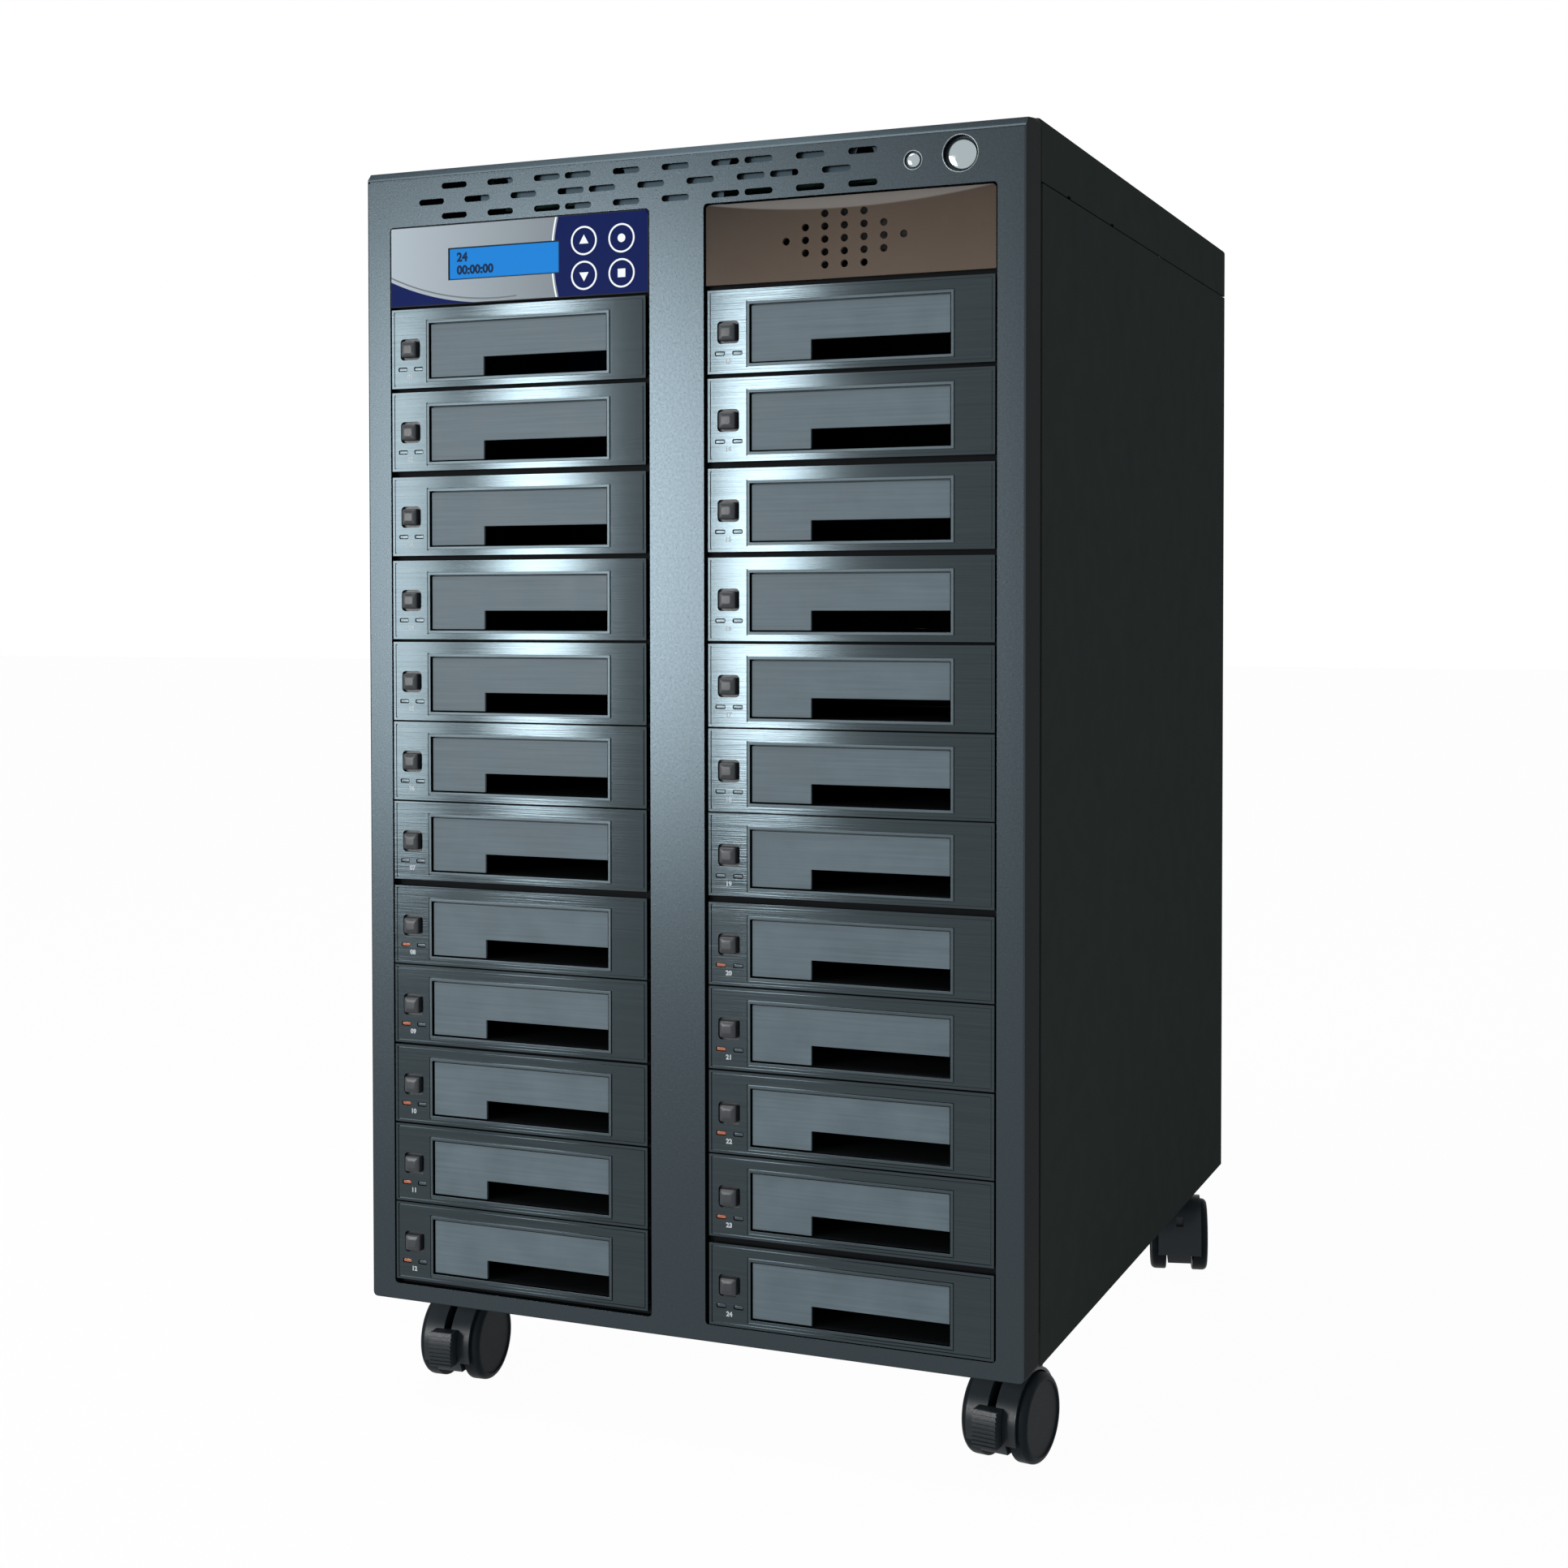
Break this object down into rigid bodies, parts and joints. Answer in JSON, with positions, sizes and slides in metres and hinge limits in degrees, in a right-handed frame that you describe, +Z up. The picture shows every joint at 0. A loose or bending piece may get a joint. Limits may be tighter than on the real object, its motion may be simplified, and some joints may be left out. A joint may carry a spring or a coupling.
{
  "type": "hard drive duplicator",
  "caption": "Wheeled tower that copies hard drives: two columns of drive racks with inward-swinging dust flaps, a control panel, a perforated plate, sheet covers and swivel casters.",
  "frame": {"origin": "floor level under the middle of the whole outline", "axes": "+Z up, -Y out of the front towards the user, +X to the right as seen from the front"},
  "size_m": [0.3644, 0.4546, 0.6498],
  "materials": {
    "bezel_paint": "textured satin",
    "cover_paint": "matt",
    "brushed_face": "brushed, clear coated",
    "flap_grey": "satin",
    "zinc_sheet": "zinc plated",
    "board_green": "solder mask",
    "lamp_clear": "clear",
    "button_chrome": "polished",
    "button_grey": "glossy",
    "panel_print": "printed film",
    "display_blue": "clear window",
    "plate_brown": "glossy",
    "black_plastic": "moulded",
    "switch_black": "moulded",
    "screw_steel": "black zinc"
  },
  "bodies": {
    "case": {"front_bezel": "bezel_paint", "top_cover": "cover_paint", "side_panel_left": "cover_paint", "side_panel_right": "cover_paint", "base_tray": "zinc_sheet", "rear_panel": "cover_paint", "bay_cage": "zinc_sheet", "control_board": "board_green", "rack_faces": "brushed_face", "rack_trays": "zinc_sheet", "rack_backplanes": "board_green", "rack_lamps": "lamp_clear", "control_panel": "panel_print", "display": "display_blue", "cover_plate": "plate_brown", "power_supply": "zinc_sheet", "mains_inlet": "switch_black", "fan_frame": "black_plastic", "case_screws": "screw_steel", "caster_plates": "zinc_sheet"},
    "power_button": {"power_button": "button_chrome"},
    "reset_button": {"reset_button": "button_chrome"},
    "eject_buttons_left": {"eject_buttons_left": "button_grey"},
    "eject_buttons_right": {"eject_buttons_right": "button_grey"},
    "mains_switch": {"mains_switch": "switch_black"},
    "fan_rotor": {"fan_rotor": "black_plastic"},
    "flap_left_01": {"flap_left_01": "flap_grey"},
    "flap_left_02": {"flap_left_02": "flap_grey"},
    "flap_left_03": {"flap_left_03": "flap_grey"},
    "flap_left_04": {"flap_left_04": "flap_grey"},
    "flap_left_05": {"flap_left_05": "flap_grey"},
    "flap_left_06": {"flap_left_06": "flap_grey"},
    "flap_left_07": {"flap_left_07": "flap_grey"},
    "flap_left_08": {"flap_left_08": "flap_grey"},
    "flap_left_09": {"flap_left_09": "flap_grey"},
    "flap_left_10": {"flap_left_10": "flap_grey"},
    "flap_left_11": {"flap_left_11": "flap_grey"},
    "flap_left_12": {"flap_left_12": "flap_grey"},
    "flap_right_01": {"flap_right_01": "flap_grey"},
    "flap_right_02": {"flap_right_02": "flap_grey"},
    "flap_right_03": {"flap_right_03": "flap_grey"},
    "flap_right_04": {"flap_right_04": "flap_grey"},
    "flap_right_05": {"flap_right_05": "flap_grey"},
    "flap_right_06": {"flap_right_06": "flap_grey"},
    "flap_right_07": {"flap_right_07": "flap_grey"},
    "flap_right_08": {"flap_right_08": "flap_grey"},
    "flap_right_09": {"flap_right_09": "flap_grey"},
    "flap_right_10": {"flap_right_10": "flap_grey"},
    "flap_right_11": {"flap_right_11": "flap_grey"},
    "flap_right_12": {"flap_right_12": "flap_grey"},
    "caster_hood_front_left": {"caster_hood_front_left": "black_plastic"},
    "caster_wheels_front_left": {"caster_wheels_front_left": "black_plastic"},
    "brake_pedal_front_left": {"brake_pedal_front_left": "black_plastic"},
    "caster_hood_front_right": {"caster_hood_front_right": "black_plastic"},
    "caster_wheels_front_right": {"caster_wheels_front_right": "black_plastic"},
    "brake_pedal_front_right": {"brake_pedal_front_right": "black_plastic"},
    "caster_hood_rear_left": {"caster_hood_rear_left": "black_plastic"},
    "caster_wheels_rear_left": {"caster_wheels_rear_left": "black_plastic"},
    "caster_hood_rear_right": {"caster_hood_rear_right": "black_plastic"},
    "caster_wheels_rear_right": {"caster_wheels_rear_right": "black_plastic"}
  },
  "joints": [
    {"name": "power_button_press", "type": "slide", "parent": "case", "child": "power_button", "axis": [0, 1, 0], "range_m": [0, 0.0022], "stiffness_N_per_m": 600, "springref_m": -0.0022},
    {"name": "reset_button_press", "type": "slide", "parent": "case", "child": "reset_button", "axis": [0, 1, 0], "range_m": [0, 0.0018], "stiffness_N_per_m": 500, "springref_m": -0.0018},
    {"name": "eject_buttons_left_press", "type": "slide", "parent": "case", "child": "eject_buttons_left", "axis": [0, 1, 0], "range_m": [0, 0.0025], "stiffness_N_per_m": 1500, "springref_m": -0.0025},
    {"name": "eject_buttons_right_press", "type": "slide", "parent": "case", "child": "eject_buttons_right", "axis": [0, 1, 0], "range_m": [0, 0.0025], "stiffness_N_per_m": 1500, "springref_m": -0.0025},
    {"name": "mains_switch_rock", "type": "hinge", "parent": "case", "child": "mains_switch", "pos_m": [-0.018, 0.2199, 0.119], "axis": [1, 0, 0], "range_deg": [0, 12]},
    {"name": "fan_spin", "type": "hinge", "parent": "case", "child": "fan_rotor", "pos_m": [0, 0.2099, 0.457], "axis": [0, 1, 0], "continuous": true},
    {"name": "flap_left_01_swing", "type": "hinge", "parent": "case", "child": "flap_left_01", "pos_m": [-0.08965, -0.2211, 0.567], "axis": [1, 0, 0], "range_deg": [0, 90], "stiffness_Nm_per_rad": 0.004, "springref_deg": -28.65},
    {"name": "flap_left_02_swing", "type": "hinge", "parent": "case", "child": "flap_left_02", "pos_m": [-0.08965, -0.2211, 0.5242], "axis": [1, 0, 0], "range_deg": [0, 90], "stiffness_Nm_per_rad": 0.004, "springref_deg": -28.65},
    {"name": "flap_left_03_swing", "type": "hinge", "parent": "case", "child": "flap_left_03", "pos_m": [-0.08965, -0.2211, 0.4804], "axis": [1, 0, 0], "range_deg": [0, 90], "stiffness_Nm_per_rad": 0.004, "springref_deg": -28.65},
    {"name": "flap_left_04_swing", "type": "hinge", "parent": "case", "child": "flap_left_04", "pos_m": [-0.08965, -0.2211, 0.4372], "axis": [1, 0, 0], "range_deg": [0, 90], "stiffness_Nm_per_rad": 0.004, "springref_deg": -28.65},
    {"name": "flap_left_05_swing", "type": "hinge", "parent": "case", "child": "flap_left_05", "pos_m": [-0.08965, -0.2211, 0.3951], "axis": [1, 0, 0], "range_deg": [0, 90], "stiffness_Nm_per_rad": 0.004, "springref_deg": -28.65},
    {"name": "flap_left_06_swing", "type": "hinge", "parent": "case", "child": "flap_left_06", "pos_m": [-0.08965, -0.2211, 0.3536], "axis": [1, 0, 0], "range_deg": [0, 90], "stiffness_Nm_per_rad": 0.004, "springref_deg": -28.65},
    {"name": "flap_left_07_swing", "type": "hinge", "parent": "case", "child": "flap_left_07", "pos_m": [-0.08965, -0.2211, 0.3121], "axis": [1, 0, 0], "range_deg": [0, 90], "stiffness_Nm_per_rad": 0.004, "springref_deg": -28.65},
    {"name": "flap_left_08_swing", "type": "hinge", "parent": "case", "child": "flap_left_08", "pos_m": [-0.08965, -0.2211, 0.2681], "axis": [1, 0, 0], "range_deg": [0, 90], "stiffness_Nm_per_rad": 0.004, "springref_deg": -28.65},
    {"name": "flap_left_09_swing", "type": "hinge", "parent": "case", "child": "flap_left_09", "pos_m": [-0.08965, -0.2211, 0.2267], "axis": [1, 0, 0], "range_deg": [0, 90], "stiffness_Nm_per_rad": 0.004, "springref_deg": -28.65},
    {"name": "flap_left_10_swing", "type": "hinge", "parent": "case", "child": "flap_left_10", "pos_m": [-0.08965, -0.2211, 0.1849], "axis": [1, 0, 0], "range_deg": [0, 90], "stiffness_Nm_per_rad": 0.004, "springref_deg": -28.65},
    {"name": "flap_left_11_swing", "type": "hinge", "parent": "case", "child": "flap_left_11", "pos_m": [-0.08965, -0.2211, 0.1434], "axis": [1, 0, 0], "range_deg": [0, 90], "stiffness_Nm_per_rad": 0.004, "springref_deg": -28.65},
    {"name": "flap_left_12_swing", "type": "hinge", "parent": "case", "child": "flap_left_12", "pos_m": [-0.08965, -0.2211, 0.1021], "axis": [1, 0, 0], "range_deg": [0, 90], "stiffness_Nm_per_rad": 0.004, "springref_deg": -28.65},
    {"name": "flap_right_01_swing", "type": "hinge", "parent": "case", "child": "flap_right_01", "pos_m": [0.09055, -0.2211, 0.5672], "axis": [1, 0, 0], "range_deg": [0, 90], "stiffness_Nm_per_rad": 0.004, "springref_deg": -28.65},
    {"name": "flap_right_02_swing", "type": "hinge", "parent": "case", "child": "flap_right_02", "pos_m": [0.09055, -0.2211, 0.5244], "axis": [1, 0, 0], "range_deg": [0, 90], "stiffness_Nm_per_rad": 0.004, "springref_deg": -28.65},
    {"name": "flap_right_03_swing", "type": "hinge", "parent": "case", "child": "flap_right_03", "pos_m": [0.09055, -0.2211, 0.4805], "axis": [1, 0, 0], "range_deg": [0, 90], "stiffness_Nm_per_rad": 0.004, "springref_deg": -28.65},
    {"name": "flap_right_04_swing", "type": "hinge", "parent": "case", "child": "flap_right_04", "pos_m": [0.09055, -0.2211, 0.4371], "axis": [1, 0, 0], "range_deg": [0, 90], "stiffness_Nm_per_rad": 0.004, "springref_deg": -28.65},
    {"name": "flap_right_05_swing", "type": "hinge", "parent": "case", "child": "flap_right_05", "pos_m": [0.09055, -0.2211, 0.395], "axis": [1, 0, 0], "range_deg": [0, 90], "stiffness_Nm_per_rad": 0.004, "springref_deg": -28.65},
    {"name": "flap_right_06_swing", "type": "hinge", "parent": "case", "child": "flap_right_06", "pos_m": [0.09055, -0.2211, 0.3535], "axis": [1, 0, 0], "range_deg": [0, 90], "stiffness_Nm_per_rad": 0.004, "springref_deg": -28.65},
    {"name": "flap_right_07_swing", "type": "hinge", "parent": "case", "child": "flap_right_07", "pos_m": [0.09055, -0.2211, 0.3122], "axis": [1, 0, 0], "range_deg": [0, 90], "stiffness_Nm_per_rad": 0.004, "springref_deg": -28.65},
    {"name": "flap_right_08_swing", "type": "hinge", "parent": "case", "child": "flap_right_08", "pos_m": [0.09055, -0.2211, 0.2683], "axis": [1, 0, 0], "range_deg": [0, 90], "stiffness_Nm_per_rad": 0.004, "springref_deg": -28.65},
    {"name": "flap_right_09_swing", "type": "hinge", "parent": "case", "child": "flap_right_09", "pos_m": [0.09055, -0.2211, 0.2269], "axis": [1, 0, 0], "range_deg": [0, 90], "stiffness_Nm_per_rad": 0.004, "springref_deg": -28.65},
    {"name": "flap_right_10_swing", "type": "hinge", "parent": "case", "child": "flap_right_10", "pos_m": [0.09055, -0.2211, 0.1854], "axis": [1, 0, 0], "range_deg": [0, 90], "stiffness_Nm_per_rad": 0.004, "springref_deg": -28.65},
    {"name": "flap_right_11_swing", "type": "hinge", "parent": "case", "child": "flap_right_11", "pos_m": [0.09055, -0.2211, 0.144], "axis": [1, 0, 0], "range_deg": [0, 90], "stiffness_Nm_per_rad": 0.004, "springref_deg": -28.65},
    {"name": "flap_right_12_swing", "type": "hinge", "parent": "case", "child": "flap_right_12", "pos_m": [0.09055, -0.2211, 0.1], "axis": [1, 0, 0], "range_deg": [0, 90], "stiffness_Nm_per_rad": 0.004, "springref_deg": -28.65},
    {"name": "swivel_front_left", "type": "hinge", "parent": "case", "child": "caster_hood_front_left", "pos_m": [-0.1565, -0.1523, 0.045], "axis": [0, 0, 1], "continuous": true},
    {"name": "roll_front_left", "type": "hinge", "parent": "caster_hood_front_left", "child": "caster_wheels_front_left", "pos_m": [-0.15545, -0.16726, 0.022], "axis": [0.9976, 0.0698, 0], "continuous": true},
    {"name": "brake_front_left", "type": "hinge", "parent": "caster_hood_front_left", "child": "brake_pedal_front_left", "pos_m": [-0.15483, -0.17624, 0.028], "axis": [-0.9976, -0.0698, 0], "range_deg": [0, 18]},
    {"name": "swivel_front_right", "type": "hinge", "parent": "case", "child": "caster_hood_front_right", "pos_m": [0.1565, -0.1523, 0.045], "axis": [0, 0, 1], "continuous": true},
    {"name": "roll_front_right", "type": "hinge", "parent": "caster_hood_front_right", "child": "caster_wheels_front_right", "pos_m": [0.15441, -0.16715, 0.022], "axis": [0.9903, -0.1392, 0], "continuous": true},
    {"name": "brake_front_right", "type": "hinge", "parent": "caster_hood_front_right", "child": "brake_pedal_front_right", "pos_m": [0.15316, -0.17607, 0.028], "axis": [-0.9903, 0.1392, 0], "range_deg": [0, 18]},
    {"name": "swivel_rear_left", "type": "hinge", "parent": "case", "child": "caster_hood_rear_left", "pos_m": [-0.1565, 0.1927, 0.045], "axis": [0, 0, 1], "continuous": true},
    {"name": "roll_rear_left", "type": "hinge", "parent": "caster_hood_rear_left", "child": "caster_wheels_rear_left", "pos_m": [-0.16038, 0.17821, 0.022], "axis": [0.9659, -0.2588, 0], "continuous": true},
    {"name": "swivel_rear_right", "type": "hinge", "parent": "case", "child": "caster_hood_rear_right", "pos_m": [0.1565, 0.1927, 0.045], "axis": [0, 0, 1], "continuous": true},
    {"name": "roll_rear_right", "type": "hinge", "parent": "caster_hood_rear_right", "child": "caster_wheels_rear_right", "pos_m": [0.16038, 0.17821, 0.022], "axis": [0.9659, 0.2588, 0], "continuous": true}
  ]
}
